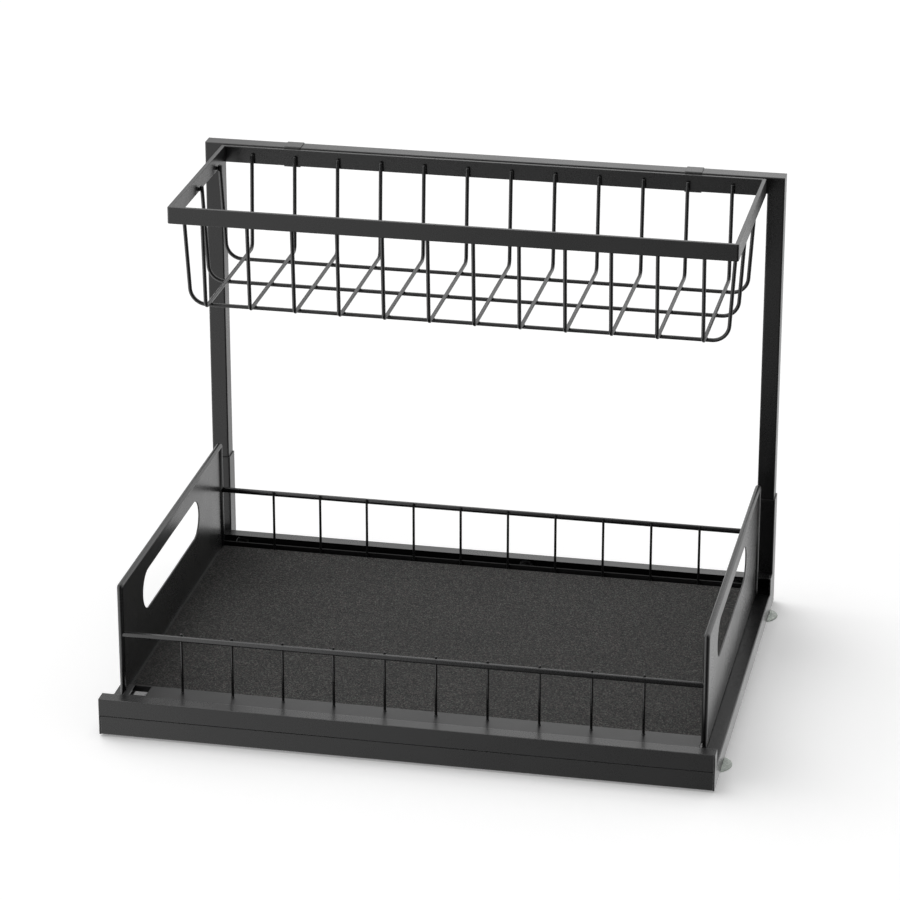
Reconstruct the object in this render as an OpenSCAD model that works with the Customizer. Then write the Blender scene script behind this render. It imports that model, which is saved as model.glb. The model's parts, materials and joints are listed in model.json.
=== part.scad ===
// Two-tier under sink organizer: a tubular base with roller channels, a pull-out
// tray with end handles and wire fences, and a wire basket hung on an upright frame.
// X runs along the rails, Y from front to back, Z up from the ground.

/* [Base] */
// Length of the base along its rails
base_w = 430; // [380:5:520]
// Depth of the base over its two long rails
base_d = 307; // [280:1:360]
// Outer side of the square base tubes
tube = 13.8; // [12.4:0.2:16]
// Wall of the base tubes
tube_wall = 1.2; // [0.8:0.1:1.6]
// Height of the slide channels that stand on the long tubes
channel_h = 12.9; // [12.6:0.1:14]
// Depth of the slide channels from web to lips
channel_d = 10.2; // [9:0.1:11]
// Sheet of the slide channels
channel_wall = 1.2; // [0.8:0.1:1.3]
// Plates that close the rail ends
end_plate = 1.2; // [0.8:0.1:2]
// Bend radius at the edges of the tubes
tube_edge = 0.8; // [0.4:0.1:1.2]

/* [Uprights] */
// Outer side of the square sleeves behind the base
sleeve = 14.4; // [13:0.1:16]
// Wall of the sleeves
sleeve_wall = 0.8; // [0.6:0.1:1.2]
// Height of the sleeves
sleeve_h = 86; // [60:1:110]
// Clearance around the posts inside the sleeves
post_clearance = 0.1; // [0.05:0.05:0.3]
// Wall of the posts and the top rail
post_wall = 1; // [0.8:0.1:1.5]
// Length of each post inside its sleeve
post_plug = 40; // [25:1:50]
// Height of the top rail's upper face above the underside of the base
upright_h = 334.7; // [300:0.1:380]
// Diameter of the locking screws
screw_d = 4; // [3:0.5:5]
// Length of the locking screws under the head
screw_l = 8; // [5:0.5:10]
// Distance of the locking screws below the sleeve tops
screw_drop = 11; // [8:1:20]

/* [Feet] */
// Gap between the ground and the base tubes
foot_gap = 1.5; // [1.2:0.1:3]
// Diameter of the suction cups
cup_d = 26.5; // [20:0.5:32]
// Distance of the front cups from the front face of the base
cup_front = 43; // [25:1:70]
// Distance of the back cups from the back face of the base
cup_back = 14; // [13:0.5:60]
// Diameter of the cup necks
cup_neck = 7; // [5:0.5:8]

/* [Tray] */
// Gap between the tray and each slide channel
tray_gap = 5; // [4:0.1:7]
// Distance of the tray's ends from the ends of the base
tray_inset = 11.5; // [9:0.5:20]
// Sheet of the tray and its end panels
sheet = 1; // [0.8:0.1:1.5]
// Height of the tray floor's upper face above the underside of the base
floor_h = 20.5; // [19.5:0.1:21.5]
// Height of the front margin and the back lip above the underside of the base
lip_h = 24; // [23.5:0.1:27]
// Width of the raised front margin
margin_d = 17.8; // [14:0.1:26]
// Thickness of the runner bars
runner_t = 1.5; // [1:0.1:2]
// Underside of the runner bars above the underside of the base
runner_low = 15.6; // [15.2:0.1:16.5]
// Thickness of the anti-slip mat
mat_t = 1.2; // [0.8:0.1:2]
// Gap between the mat and the tray's edges
mat_gap = 3; // [0.5:0.1:6]
// Length of the notch in the left end of the front margin
notch_w = 12; // [8:1:20]
// Distance the tray can be pulled out
travel = 230; // [160:5:250]

/* [Rollers] */
// Diameter of the rollers
roller_d = 10; // [9:0.1:10]
// Width of the rollers
roller_w = 5; // [4:0.1:5.2]
// Diameter of the roller pins
pin_d = 4; // [3:0.1:5]
// Diameter of the shoulder and head of the roller pins
pin_head_d = 6; // [5.4:0.1:7]
// Radial running clearance of the rollers on their pins
pin_fit = 0.05; // [0.02:0.01:0.1]
// Distance of the end rollers from the tray's ends
roller_inset = 13.5; // [9:0.5:25]

/* [End panels] */
// Upper edge of the end panels above the underside of the base
panel_h = 101; // [95:1:130]
// Gap between the end panels and the end tubes below them
panel_gap = 1.2; // [0.8:0.1:1.3]
// Diameter of the rolled bead around the end panels
bead_d = 4; // [3:0.1:5]
// Centre-line radius of the bead at the panels' upper corners
bead_bend = 3; // [2.6:0.1:10]
// Length of the handle holes
handle_l = 150; // [100:1:180]
// Height of the handle holes
handle_h = 30; // [22:1:36]
// Middle of the handle holes below the panels' upper edge
handle_drop = 28.8; // [24:0.1:34]

/* [Fences] */
// Middle of the fence rods above the underside of the base
fence_h = 66; // [50:1:80]
// Diameter of the fence rods
rod_d = 4; // [3:0.1:4]
// Distance of the front fence from the tray's front face
fence_inset = 9.8; // [6:0.1:12]
// Diameter of the fence's upright wires
picket_d = 1.9; // [1.5:0.1:3]
// Spacing of the fence's upright wires
picket_pitch = 36; // [20:1:50]
// Least distance of the first upright wire from the fence's end
picket_end = 30; // [15:1:40]

/* [Basket] */
// Depth of the basket's rim
basket_d = 147.8; // [120:0.1:180]
// Distance of the rim's upper face below the top rail's upper face
basket_drop = 0.7; // [0:0.1:8]
// Gap between the rim and each post
basket_gap = 2.5; // [1.5:0.1:10]
// Height of the rim's flat bar
rim_h = 12.2; // [8:0.1:16]
// Thickness of the rim's flat bar
rim_t = 2; // [1.5:0.1:3]
// Diameter of the basket wires
wire_d = 2.8; // [2:0.1:3.5]
// Distance of the wires' upper ends below the rim's upper face
wire_drop = 5.4; // [2:0.1:7]
// Middle of the cross wires' floor below the rim's upper face
basket_h = 75.5; // [50:0.1:110]
// Centre-line bend radius of the cross wires
cross_bend = 5; // [4:0.5:14]
// Lean of the cross wires' legs
cross_lean = 3.5; // [0:0.1:6]
// Distance from the rim's inner face to the first and last cross wire
cross_inset = 19.9; // [16:0.1:26]
// Centre-line bend radius of the long wires
long_bend = 12; // [5:0.5:14]
// Lean of the long wires' legs
long_lean = 2.2; // [0:0.1:6]
// Distance of the front long wire behind the rim's front face
long_front = 21.5; // [17:0.1:30]
// Distance of the back long wire before the rim's back face
long_back = 25.8; // [17:0.1:30]

/* [Hooks] */
// Width of the basket's hooks
hook_w = 13.4; // [8:0.1:25]
// Thickness of the hooks
hook_t = 1.2; // [1:0.1:2]
// Clearance between the hooks and the top rail
hook_fit = 0.3; // [0.2:0.1:0.6]
// Distance of the hooks' middles from the rim's ends
hook_inset = 51; // [20:1:90]
// Length of each hook behind the top rail
hook_tail = 13; // [8:0.5:20]

/* [Hidden] */
$fn = 48;
// Hair gap at welds between curved faces
weld = 0.03;
// Overshoot of cutting tools past the faces they cut
cut = 1;
// Steps of a rounded tube edge and of a wire's bend, and sides of a wire
edge_steps = 4;
bend_steps = 6;
wire_sides = 12;
powder_black = "#2a2a2b";
coated_wire = "#232324";
mat_grey = "#3b3a39";
zinc = "#a9abad";
nylon = "#d9d7cf";
clear_rubber = "#b9c2b4";

post = sleeve - 2 * sleeve_wall - 2 * post_clearance;
screw_head_d = 2 * screw_d;
screw_head_h = screw_d / 2;
total_d = base_d + sleeve + screw_head_h;
// Front face of the base, with the origin under the middle of the whole
front_y = -total_d / 2;
back_y = front_y + base_d;
middle_y = front_y + base_d / 2;
half_w = base_w / 2;
base_z = foot_gap;
tube_top = base_z + tube;
channel_top = tube_top + channel_h;
post_inset = (sleeve - post) / 2;
post_front = back_y + post_inset;
post_back = post_front + post;
post_outer = half_w - post_inset;
top_z = base_z + upright_h;
sleeve_top = base_z + sleeve_h;

tray_half = half_w - tray_inset;
tray_front = front_y + channel_d + tray_gap;
tray_back = back_y - channel_d - tray_gap;
floor_top = base_z + floor_h;
floor_low = floor_top - sheet;
lip_top = base_z + lip_h;
margin_back = tray_front + margin_d;
panel_mid = tray_half + sheet / 2;
// Where the runners, the margin and the rods end short of the panels' beads
bead_stop = panel_mid - bead_d / 2 - weld;
panel_low = tube_top + panel_gap;
panel_top = base_z + panel_h;
panel_line = panel_top - bead_d / 2;
front_fence_y = tray_front + fence_inset;
rear_fence_y = tray_back - runner_t / 2;
rod_z = base_z + fence_h;

roller_z = tube_top + channel_wall + weld + roller_d / 2;
// Play of the rollers between pin head and shoulder, and of the heads at the web
side_play = 0.2;
web_play = 0.4;
pin_head_t = 0.8;
roller_end_x = tray_half - roller_inset;
// Room between the middle roller and the channel mouth with the tray pulled out
mouth_margin = 15;
roller_middle_x = travel + mouth_margin - half_w;
stop_reach = 5.8;
stop_gap = 0.3;
stop_w = 40;
stop_t = 1.5;
stop_foot = 12;

rim_half = post_outer - post - basket_gap;
rim_back = post_front - hook_t - hook_fit;
rim_front = rim_back - basket_d;
rim_top = top_z - basket_drop;
rim_corner = 2;
cross_z = rim_top - basket_h;
long_z = cross_z - wire_d - weld;
wire_top = rim_top - wire_drop;
cross_count = 12;
cross_pitch = 2 * (rim_half - rim_t - cross_inset) / (cross_count - 1);
// Distance from the rim's outer face to the middle of a wire welded to its inner face
wire_seat = rim_t + weld + wire_d / 2;
hook_x = rim_half - hook_inset;
hook_low = rim_top - rim_h - 1;

// Points of a quarter circle around c, counted from the angle from
function quarter(c, r, from) =
    [for (i = [0 : edge_steps]) c + r * [cos(from + 90 * i / edge_steps), sin(from + 90 * i / edge_steps)]];

// Outline of a w by h rectangle with rounded corners, its low corner at the origin
function rounded(w, h, r) = concat(
    quarter([w - r, h - r], r, 0),
    quarter([r, h - r], r, 90),
    quarter([r, r], r, 180),
    quarter([w - r, r], r, 270)
);

// Hollow square section in the positive quadrant
module square_section(side, wall) {
    difference() {
        polygon(rounded(side, side, tube_edge));
        translate([wall, wall])
            square(side - 2 * wall);
    }
}

// Square tube along X from x0 to x1, with its low front edge at y and z
module tube_x(x0, x1, y, z, side, wall) {
    translate([x0, y, z])
        rotate([90, 0, 90])
            linear_extrude(x1 - x0)
                square_section(side, wall);
}

// Square tube upright from z0 to z1, with its low corner at x and y
module tube_z(x, y, z0, z1, side, wall) {
    translate([x, y, z0])
        linear_extrude(z1 - z0)
            square_section(side, wall);
}

module front_base_tube() {
    color(powder_black)
        tube_x(-half_w + end_plate, half_w - end_plate, front_y, base_z, tube, tube_wall);
}

module rear_base_tube() {
    color(powder_black)
        tube_x(-half_w + tube, half_w - tube, back_y - tube, base_z, tube, tube_wall);
}

// End tube under one end of the tray, with the holes of its two suction cups
module end_tube(side) {
    color(powder_black)
        difference() {
            translate([side > 0 ? half_w - tube : -half_w, back_y, base_z])
                rotate([90, 0, 0])
                    linear_extrude(base_d - tube)
                        square_section(tube, tube_wall);
            for (y = [front_y + cup_front, back_y - cup_back])
                translate([side * cup_x(), y, base_z - cut])
                    cylinder(d = cup_neck + 2 * cup_fit(), h = tube_wall + 2 * cut);
        }
}

function cup_x() = half_w - tube / 2;
function cup_fit() = 0.2;

// Slide channel open towards the tray, drawn for the front rail
module channel_section() {
    difference() {
        polygon(rounded(channel_d + tube_edge, channel_h, tube_edge));
        translate([channel_wall, channel_wall])
            square([channel_d, channel_h - 2 * channel_wall]);
        translate([channel_d, -cut])
            square([cut + tube_edge, channel_h + 2 * cut]);
    }
}

module slide_channel() {
    translate([-half_w, 0, tube_top])
        rotate([90, 0, 90])
            linear_extrude(base_w - end_plate)
                channel_section();
}

module front_slide_channel() {
    color(powder_black)
        translate([0, front_y, 0])
            slide_channel();
}

module rear_slide_channel() {
    color(powder_black)
        translate([0, back_y, 0])
            mirror([0, 1, 0])
                slide_channel();
}

module front_left_end_plate() {
    color(powder_black)
        translate([-half_w, front_y, base_z])
            cube([end_plate, tube, tube]);
}

// Plate over the tube and the channel above it
module front_right_end_plate() {
    color(powder_black)
        translate([half_w - end_plate, front_y, base_z])
            rotate([90, 0, 90])
                linear_extrude(end_plate)
                    polygon([
                        [0, 0],
                        [tube, 0],
                        [tube, tube],
                        [channel_d, tube],
                        [channel_d, tube + channel_h],
                        [0, tube + channel_h]
                    ]);
}

module rear_right_end_plate() {
    color(powder_black)
        translate([half_w - end_plate, back_y - channel_d, tube_top])
            cube([end_plate, channel_d, channel_h]);
}

// Sleeve at one back corner, with the hole of its locking screw
module sleeve_tube(side) {
    color(powder_black)
        difference() {
            tube_z(side > 0 ? half_w - sleeve : -half_w, back_y, base_z, sleeve_top, sleeve, sleeve_wall);
            screw_hole(side, sleeve_wall, screw_d + 2 * cup_fit());
        }
}

// Cutter for the hole of a locking screw through the back wall of a tube
module screw_hole(side, wall, d) {
    translate([side * (half_w - sleeve / 2), back_y + sleeve + cut, sleeve_top - screw_drop])
        rotate([90, 0, 0])
            cylinder(d = d, h = wall + post_inset + cut + (wall == post_wall ? cut : 0));
}

// Post with its upper end cut to a mitre
module post_tube(side) {
    low = sleeve_top - post_plug;
    color(powder_black)
        difference() {
            tube_z(side > 0 ? post_outer - post : -post_outer, post_front, low, top_z, post, post_wall);
            mirror([side > 0 ? 0 : 1, 0, 0])
                translate([0, post_front - cut, 0])
                    rotate([90, 0, 0])
                        mirror([0, 0, 1])
                            linear_extrude(post + 2 * cut)
                                polygon([
                                    [post_outer - post - cut, top_z - post - cut],
                                    [post_outer + cut, top_z + cut],
                                    [post_outer - post - cut, top_z + cut]
                                ]);
            screw_hole(side, post_wall, screw_d + 2 * weld);
        }
}

// Top rail with both ends cut to a mitre
module top_rail() {
    reach = post_outer - post;
    color(powder_black)
        intersection() {
            tube_x(-post_outer, post_outer, post_front, top_z - post, post, post_wall);
            translate([0, post_front - cut, 0])
                rotate([90, 0, 0])
                    mirror([0, 0, 1])
                        linear_extrude(post + 2 * cut)
                            polygon([
                                [-reach, top_z - post],
                                [reach, top_z - post],
                                [post_outer, top_z],
                                [-post_outer, top_z]
                            ]);
        }
}

module lock_screws() {
    color(zinc)
        for (side = [-1, 1])
            translate([side * (half_w - sleeve / 2), back_y + sleeve, sleeve_top - screw_drop])
                rotate([-90, 0, 0]) {
                    rotate_extrude()
                        intersection() {
                            translate([0, screw_head_h - screw_head_d])
                                circle(r = screw_head_d, $fn = 96);
                            square([screw_head_d / 2, screw_head_h]);
                        }
                    translate([0, 0, -screw_l])
                        cylinder(d = screw_d, h = screw_l + screw_head_h / 2);
                }
}

// Suction cup held in the lower wall of an end tube by its neck and head
module suction_cup(side, y) {
    r = cup_d / 2;
    neck = cup_neck / 2;
    rim = 1.6;
    lip = 0.5;
    head = neck + 1;
    under = base_z - weld;
    seat = base_z + tube_wall + weld;
    color(clear_rubber)
        translate([side * cup_x(), y, 0])
            rotate_extrude()
                polygon([
                    [0, 0.6 * under],
                    [r / 2, 0.5 * under],
                    [r - rim, 0],
                    [r, 0],
                    [r, lip],
                    [r - 2 * rim, under],
                    [neck, under],
                    [neck, seat],
                    [head, seat],
                    [head, seat + 1],
                    [neck, seat + 3],
                    [0, seat + 3.6]
                ]);
}

// Tray sheet: raised front margin, riser and floor
module tray_pan() {
    under_margin = lip_top - sheet;
    bead_back = rear_fence_y - bead_d / 2 - weld;
    color(powder_black)
        difference() {
            union() {
                translate([-bead_stop, tray_front, under_margin])
                    cube([2 * bead_stop, margin_d, sheet]);
                translate([-bead_stop, margin_back - sheet, floor_low])
                    cube([2 * bead_stop, sheet, under_margin + sheet - floor_low]);
                translate([-bead_stop, margin_back - sheet, floor_low])
                    cube([2 * bead_stop, tray_back - runner_t - margin_back + sheet, sheet]);
                translate([-tray_half, margin_back, floor_low])
                    cube([2 * tray_half, bead_back - margin_back, sheet]);
            }
            translate([-notch_left(), tray_front + 2, under_margin - cut])
                cube([notch_w, margin_d - 2 - sheet, sheet + 2 * cut]);
        }
}

function notch_left() = bead_stop - 4;

module anti_slip_mat() {
    w = 2 * (tray_half - mat_gap);
    front = margin_back + 0.2;
    back = rear_fence_y - bead_d / 2;
    color(mat_grey)
        translate([-w / 2, front, floor_top])
            linear_extrude(mat_t)
                polygon(rounded(w, back - front, 2));
}

// Runner bar along the tray, bored for the three roller pins
module runner(y, top) {
    difference() {
        translate([-bead_stop, y, base_z + runner_low])
            cube([2 * bead_stop, runner_t, top - base_z - runner_low]);
        for (x = roller_xs())
            translate([x, y - cut, roller_z])
                rotate([-90, 0, 0])
                    cylinder(d = pin_d + 2 * pin_fit, h = runner_t + 2 * cut);
    }
}

function roller_xs() = [-roller_end_x, roller_middle_x, roller_end_x];

module front_runner() {
    color(powder_black)
        runner(tray_front, lip_top - sheet);
}

module rear_runner() {
    color(powder_black)
        runner(tray_back - runner_t, lip_top);
}

// One roller pin along Y, drawn for the front rail from its head inwards
module roller_pin() {
    head_y = front_y + channel_wall + web_play;
    shoulder_y = roller_front() + roller_w + side_play;
    translate([0, head_y, 0])
        rotate([-90, 0, 0])
            cylinder(d = pin_head_d, h = pin_head_t);
    translate([0, head_y, 0])
        rotate([-90, 0, 0])
            cylinder(d = pin_d, h = tray_front + runner_t - head_y);
    translate([0, shoulder_y, 0])
        rotate([-90, 0, 0])
            cylinder(d = pin_head_d, h = tray_front - shoulder_y);
}

function roller_front() = front_y + channel_wall + web_play + pin_head_t + side_play;

// Draws its children at the front rail and mirrored at the back rail
module at_rail(back) {
    if (back)
        translate([0, 2 * middle_y, 0])
            mirror([0, 1, 0])
                children();
    else
        children();
}

module roller_pins() {
    color(zinc)
        for (back = [false, true], x = roller_xs())
            at_rail(back)
                translate([x, 0, roller_z])
                    roller_pin();
}

// Grooved nylon roller on its pin
module roller(x, back) {
    rounding = 0.4;
    color(nylon)
        at_rail(back)
            translate([x, roller_front(), roller_z])
                rotate([-90, 0, 0])
                    difference() {
                        rotate_extrude()
                            polygon([
                                [0, 0],
                                [roller_d / 2 - rounding, 0],
                                [roller_d / 2, rounding],
                                [roller_d / 2, roller_w - rounding],
                                [roller_d / 2 - rounding, roller_w],
                                [0, roller_w]
                            ]);
                        translate([0, 0, -cut])
                            cylinder(d = pin_d + 2 * pin_fit, h = roller_w + 2 * cut);
                    }
}

// Two angle stops under the floor that meet the end tubes at either end of the travel
module travel_stops() {
    inner = half_w - tube;
    color(powder_black) {
        stop_angle(-inner + travel + stop_gap, 1);
        stop_angle(inner - stop_gap, -1);
    }
}

module stop_angle(x, side) {
    low = tube_top - stop_reach;
    translate([x, middle_y, low])
        mirror([side > 0 ? 0 : 1, 0, 0])
            rotate([90, 0, 0])
                linear_extrude(stop_w, center = true)
                    polygon([
                        [0, 0],
                        [stop_t, 0],
                        [stop_t, floor_low - low - stop_t],
                        [stop_foot, floor_low - low - stop_t],
                        [stop_foot, floor_low - low],
                        [0, floor_low - low]
                    ]);
}

// End panel with a rolled bead on three edges and a handle hole
module end_panel(side) {
    bend_z = panel_line - bead_bend;
    color(powder_black)
        difference() {
            union() {
                translate([side * panel_mid - sheet / 2, 0, 0])
                    rotate([90, 0, 90])
                        linear_extrude(sheet)
                            polygon(concat(
                                [[front_fence_y, panel_low], [rear_fence_y, panel_low]],
                                quarter([rear_fence_y - bead_bend, bend_z], bead_bend, 0),
                                quarter([front_fence_y + bead_bend, bend_z], bead_bend, 90)
                            ));
                translate([side * panel_mid, 0, 0])
                    panel_bead(bend_z);
            }
            handle_hole(side);
        }
}

// Round bead up the front edge, over the top and down the back edge
module panel_bead(bend_z) {
    for (y = [front_fence_y, rear_fence_y])
        translate([0, y, panel_low])
            cylinder(d = bead_d, h = bend_z - panel_low);
    translate([0, front_fence_y + bead_bend, panel_line])
        rotate([-90, 0, 0])
            cylinder(d = bead_d, h = rear_fence_y - front_fence_y - 2 * bead_bend);
    translate([0, front_fence_y + bead_bend, bend_z])
        rotate([0, -90, 0])
            rotate([0, 0, -90])
                rotate_extrude(angle = 90)
                    translate([bead_bend, 0])
                        circle(d = bead_d);
    translate([0, rear_fence_y - bead_bend, bend_z])
        rotate([0, -90, 0])
            rotate_extrude(angle = 90)
                translate([bead_bend, 0])
                    circle(d = bead_d);
}

module handle_hole(side) {
    reach = (handle_l - handle_h) / 2;
    z = panel_top - handle_drop;
    translate([side * panel_mid - bead_d, middle_y - reach, z - handle_h / 2])
        cube([2 * bead_d, 2 * reach, handle_h]);
    for (y = [middle_y - reach, middle_y + reach])
        translate([side * panel_mid - bead_d, y, z])
            rotate([0, 90, 0])
                cylinder(d = handle_h, h = 2 * bead_d, $fn = 96);
}

// Fence rod between the panels, its ends fitted around their beads
module fence_rod(y) {
    reach = tray_half - weld;
    color(coated_wire)
        difference() {
            translate([-reach, y, rod_z])
                rotate([0, 90, 0])
                    cylinder(d = rod_d, h = 2 * reach);
            for (side = [-1, 1])
                translate([side * panel_mid, y, rod_z - rod_d])
                    cylinder(d = bead_d + 2 * weld, h = 2 * rod_d);
        }
}

// Upright wires between the tray's edge and the fence rod
module fence_wires(y) {
    count = floor(2 * (bead_stop - picket_end) / picket_pitch) + 1;
    color(coated_wire)
        difference() {
            for (i = [0 : count - 1])
                translate([(i - (count - 1) / 2) * picket_pitch, y, lip_top])
                    cylinder(d = picket_d, h = rod_z - lip_top, $fn = 24);
            translate([-tray_half, y, rod_z])
                rotate([0, 90, 0])
                    cylinder(d = rod_d + 2 * weld, h = 2 * tray_half);
        }
}

module basket_rim() {
    w = 2 * rim_half;
    color(powder_black)
        translate([-rim_half, rim_front, rim_top - rim_h])
            linear_extrude(rim_h)
                difference() {
                    polygon(rounded(w, basket_d, rim_corner));
                    translate([rim_t, rim_t])
                        polygon(rounded(w - 2 * rim_t, basket_d - 2 * rim_t, rim_corner / 4));
                }
}

// Flat hook welded to the rim's back and bent over the top rail
module hook(x) {
    depth = post_back + hook_fit + hook_t - rim_back;
    height = top_z + hook_fit + hook_t - hook_low;
    tail_low = top_z - hook_tail - hook_low;
    bend = 1.8;
    color(powder_black)
        translate([x - hook_w / 2, rim_back, hook_low])
            rotate([90, 0, 90])
                linear_extrude(hook_w)
                    difference() {
                        polygon(concat(
                            quarter([depth - bend, height - bend], bend, 0),
                            quarter([bend, height - bend], bend, 90),
                            [[0, 0], [depth, 0]]
                        ));
                        polygon(concat(
                            quarter([depth - bend, height - bend], bend - hook_t, 0),
                            quarter([bend, height - bend], bend - hook_t, 90),
                            [[hook_t, -cut], [depth - hook_t, -cut]]
                        ));
                        translate([depth - hook_t - cut, -cut])
                            square([hook_t + 2 * cut, tail_low + cut]);
                    }
}

// Stations [x, z, heading] of a U's right half from the middle of its floor line, which
// lies at z = 0, round the bend and up the leaning leg to its end at x = half, z = h
function u_half(half, h, bend, lean) =
    let (
        turn = 90 - lean,
        rise = bend - bend * cos(turn),
        flat = half - bend * sin(turn) - (h - rise) * tan(lean)
    )
    concat(
        [for (i = [0 : bend_steps])
            let (a = turn * i / bend_steps)
            [flat + bend * sin(a), bend - bend * cos(a), a]],
        [[half, h, turn]]
    );

// The whole U: the right half mirrored and reversed, then the right half
function u_path(right) = concat(
    [for (i = [len(right) - 1 : -1 : 0]) [-right[i][0], right[i][1], -right[i][2]]],
    right
);

// Round wire swept along a path in the XZ plane
module bent_wire(path) {
    n = wire_sides;
    last = (len(path) - 1) * n;
    rings = [for (p = path, j = [0 : n - 1])
        let (u = wire_d / 2 * cos(360 * j / n), v = wire_d / 2 * sin(360 * j / n))
        [p[0] - u * sin(p[2]), v, p[1] + u * cos(p[2])]];
    sides = [for (i = [0 : len(path) - 2], j = [0 : n - 1])
        let (a = i * n + j, b = i * n + (j + 1) % n)
        each [[a, b, b + n], [a, b + n, a + n]]];
    ends = [[for (j = [n - 1 : -1 : 0]) j], [for (j = [0 : n - 1]) last + j]];
    polyhedron(rings, concat(sides, ends));
}

// Wire along the basket, under the cross wires
module long_wire(y) {
    color(coated_wire)
        translate([0, y, long_z])
            bent_wire(u_path(u_half(rim_half - wire_seat, wire_top - long_z, long_bend, long_lean)));
}

// Wire across the basket, counted from the left
module cross_wire(n) {
    color(coated_wire)
        translate([(n - (cross_count + 1) / 2) * cross_pitch, rim_front + basket_d / 2, cross_z])
            rotate([0, 0, 90])
                bent_wire(u_path(u_half(basket_d / 2 - wire_seat, wire_top - cross_z, cross_bend, cross_lean)));
}

front_base_tube();
rear_base_tube();
end_tube(-1);  // left_end_tube
end_tube(1);  // right_end_tube
front_slide_channel();
rear_slide_channel();
front_left_end_plate();
front_right_end_plate();
rear_right_end_plate();
sleeve_tube(-1);  // left_sleeve
sleeve_tube(1);  // right_sleeve
post_tube(-1);  // left_post
post_tube(1);  // right_post
top_rail();
lock_screws();
suction_cup(-1, front_y + cup_front);  // front_left_cup
suction_cup(1, front_y + cup_front);  // front_right_cup
suction_cup(-1, back_y - cup_back);  // rear_left_cup
suction_cup(1, back_y - cup_back);  // rear_right_cup
tray_pan();
anti_slip_mat();
front_runner();
rear_runner();
roller_pins();
travel_stops();
end_panel(-1);  // left_end_panel
end_panel(1);  // right_end_panel
fence_rod(front_fence_y);  // front_fence_rod
fence_rod(rear_fence_y);  // rear_fence_rod
fence_wires(front_fence_y);  // front_fence_wires
fence_wires(rear_fence_y);  // rear_fence_wires
roller(-roller_end_x, false);  // front_left_roller
roller(roller_middle_x, false);  // front_middle_roller
roller(roller_end_x, false);  // front_right_roller
roller(-roller_end_x, true);  // rear_left_roller
roller(roller_middle_x, true);  // rear_middle_roller
roller(roller_end_x, true);  // rear_right_roller
basket_rim();
hook(-hook_x);  // left_hook
hook(hook_x);  // right_hook
long_wire(rim_front + long_front);  // front_long_wire
long_wire((rim_front + long_front + rim_back - long_back) / 2);  // middle_long_wire
long_wire(rim_back - long_back);  // rear_long_wire
cross_wire(1);  // cross_wire_01
cross_wire(2);  // cross_wire_02
cross_wire(3);  // cross_wire_03
cross_wire(4);  // cross_wire_04
cross_wire(5);  // cross_wire_05
cross_wire(6);  // cross_wire_06
cross_wire(7);  // cross_wire_07
cross_wire(8);  // cross_wire_08
cross_wire(9);  // cross_wire_09
cross_wire(10);  // cross_wire_10
cross_wire(11);  // cross_wire_11
cross_wire(12);  // cross_wire_12
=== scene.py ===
"""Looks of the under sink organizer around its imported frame: powder-coated steel, wires
swept round their bends, a grainy mat, clear suction cups and zinc fasteners."""
import json
import math
import bpy
import numpy as np
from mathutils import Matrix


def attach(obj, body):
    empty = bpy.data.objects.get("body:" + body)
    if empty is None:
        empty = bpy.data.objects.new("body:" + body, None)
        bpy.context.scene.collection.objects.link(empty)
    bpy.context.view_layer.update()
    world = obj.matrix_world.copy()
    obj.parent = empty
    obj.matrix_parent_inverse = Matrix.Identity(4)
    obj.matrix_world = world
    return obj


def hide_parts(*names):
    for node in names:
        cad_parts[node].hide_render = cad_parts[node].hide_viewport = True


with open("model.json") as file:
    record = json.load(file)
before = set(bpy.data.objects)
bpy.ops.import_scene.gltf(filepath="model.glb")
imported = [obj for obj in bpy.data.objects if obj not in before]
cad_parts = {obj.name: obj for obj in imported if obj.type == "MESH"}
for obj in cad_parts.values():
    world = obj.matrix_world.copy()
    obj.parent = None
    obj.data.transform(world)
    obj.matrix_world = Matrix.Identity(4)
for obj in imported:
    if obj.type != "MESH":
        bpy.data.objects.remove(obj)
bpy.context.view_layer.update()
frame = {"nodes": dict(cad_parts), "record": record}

nodes = frame["nodes"]
MM = 0.001

# Camera
# The photograph's own view: a long lens from the front, a little to the right
CAMERA_PLACE = (0.5006, -2.4234, 1.1684)
CAMERA_AZIMUTH, CAMERA_ELEVATION = 11.67, 22.02
LENS = 151.28
SENSOR = 36.0


def make_camera():
    """Camera at the photograph's viewing angle, turned by its azimuth and elevation."""
    data = bpy.data.cameras.new("camera")
    data.lens, data.sensor_width = LENS, SENSOR
    data.clip_start, data.clip_end = 0.05, 60
    camera = bpy.data.objects.new("camera", data)
    camera.location = CAMERA_PLACE
    camera.rotation_euler = (math.radians(90 - CAMERA_ELEVATION), 0, math.radians(CAMERA_AZIMUTH))
    bpy.context.scene.collection.objects.link(camera)
    bpy.context.scene.camera = camera


# Shader helpers
def start_material(name):
    """A material with an empty tree but for its Principled shader and output."""
    mat = bpy.data.materials.new(name)
    mat.use_nodes = True
    tree = mat.node_tree
    return mat, tree, tree.nodes["Principled BSDF"]


def add(tree, kind, inputs=(), **settings):
    """Adds a node, sets its properties, and links or sets its inputs by name or index."""
    made = tree.nodes.new("ShaderNode" + kind)
    for key, value in settings.items():
        setattr(made, key, value)
    for key, value in dict(inputs).items():
        if isinstance(value, bpy.types.NodeSocket):
            tree.links.new(value, made.inputs[key])
        else:
            made.inputs[key].default_value = value
    return made


def object_place(tree):
    """Place on the piece, in metres."""
    return add(tree, "TexCoord").outputs["Object"]


def noise(tree, place, scale, detail=2.0, rough=0.5):
    """Noise from 0 to 1 with that many waves per metre."""
    return add(tree, "TexNoise", {"Vector": place, "Scale": scale, "Detail": detail,
                                  "Roughness": rough}).outputs["Fac"]


def spread(tree, value, low, high, to_low=0.0, to_high=1.0):
    """Maps low..high to to_low..to_high and clamps it."""
    return add(tree, "MapRange", {"Value": value, "From Min": low, "From Max": high,
                                  "To Min": to_low, "To Max": to_high}).outputs["Result"]


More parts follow.
